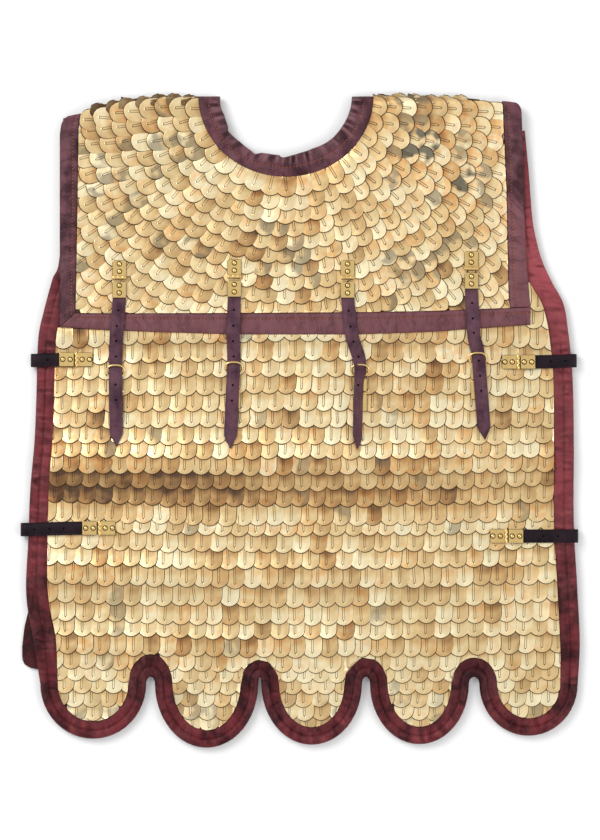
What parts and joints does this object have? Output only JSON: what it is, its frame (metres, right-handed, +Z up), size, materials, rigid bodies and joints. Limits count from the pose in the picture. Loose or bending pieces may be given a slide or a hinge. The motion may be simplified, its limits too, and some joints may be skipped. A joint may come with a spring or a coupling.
{
  "type": "scale armour corselet",
  "caption": "Armour of overlapping brass scales laid flat: front and back panel, square yoke, lobed hem, leather bindings, hinged straps.",
  "frame": {"origin": "under the middle of the whole, on the surface it lies on", "axes": "+Z up from the surface, out of the armour's front; +Y towards the neck; +X towards the armour's left arm, right in the picture"},
  "size_m": [0.6716, 0.7818, 0.0226],
  "materials": {
    "scales": "pale polished brass scales on leather",
    "binding": "oxblood leather, creased",
    "trim": "dark brown leather, stitched",
    "straps": "dark leather straps",
    "fittings": "bright polished brass"
  },
  "bodies": {
    "root": {"back_binding_hem": "binding", "back_binding_left": "binding", "back_binding_right": "binding", "back_panel": "scales", "front_binding_hem": "binding", "front_binding_left": "binding", "front_binding_right": "binding", "front_panel": "scales", "front_strap_1": "straps", "front_strap_1_buckle_leaf": "fittings", "front_strap_1_buckle_plate": "fittings", "front_strap_1_fixed_leaf": "fittings", "front_strap_1_moving_leaf": "fittings", "front_strap_1_ring": "fittings", "front_strap_2": "straps", "front_strap_2_buckle_leaf": "fittings", "front_strap_2_buckle_plate": "fittings", "front_strap_2_fixed_leaf": "fittings", "front_strap_2_moving_leaf": "fittings", "front_strap_2_ring": "fittings", "front_strap_3": "straps", "front_strap_3_buckle_leaf": "fittings", "front_strap_3_buckle_plate": "fittings", "front_strap_3_fixed_leaf": "fittings", "front_strap_3_moving_leaf": "fittings", "front_strap_3_ring": "fittings", "front_strap_4": "straps", "front_strap_4_buckle_leaf": "fittings", "front_strap_4_buckle_plate": "fittings", "front_strap_4_fixed_leaf": "fittings", "front_strap_4_moving_leaf": "fittings", "front_strap_4_ring": "fittings", "neck_trim_back": "trim", "neck_trim_front": "trim", "side_strap_left_lower": "straps", "side_strap_left_lower_back_plate": "fittings", "side_strap_left_lower_inner_leaf": "fittings", "side_strap_left_lower_outer_leaf": "fittings", "side_strap_left_upper": "straps", "side_strap_left_upper_back_plate": "fittings", "side_strap_left_upper_inner_leaf": "fittings", "side_strap_left_upper_outer_leaf": "fittings", "side_strap_right_lower": "straps", "side_strap_right_lower_back_plate": "fittings", "side_strap_right_lower_inner_leaf": "fittings", "side_strap_right_lower_outer_leaf": "fittings", "side_strap_right_upper": "straps", "side_strap_right_upper_back_plate": "fittings", "side_strap_right_upper_inner_leaf": "fittings", "side_strap_right_upper_outer_leaf": "fittings", "yoke_back": "scales", "yoke_front": "scales", "yoke_trim_back_bottom": "trim", "yoke_trim_back_left": "trim", "yoke_trim_back_right": "trim", "yoke_trim_front_bottom": "trim", "yoke_trim_front_left": "trim", "yoke_trim_front_right": "trim"}
  },
  "joints": []
}
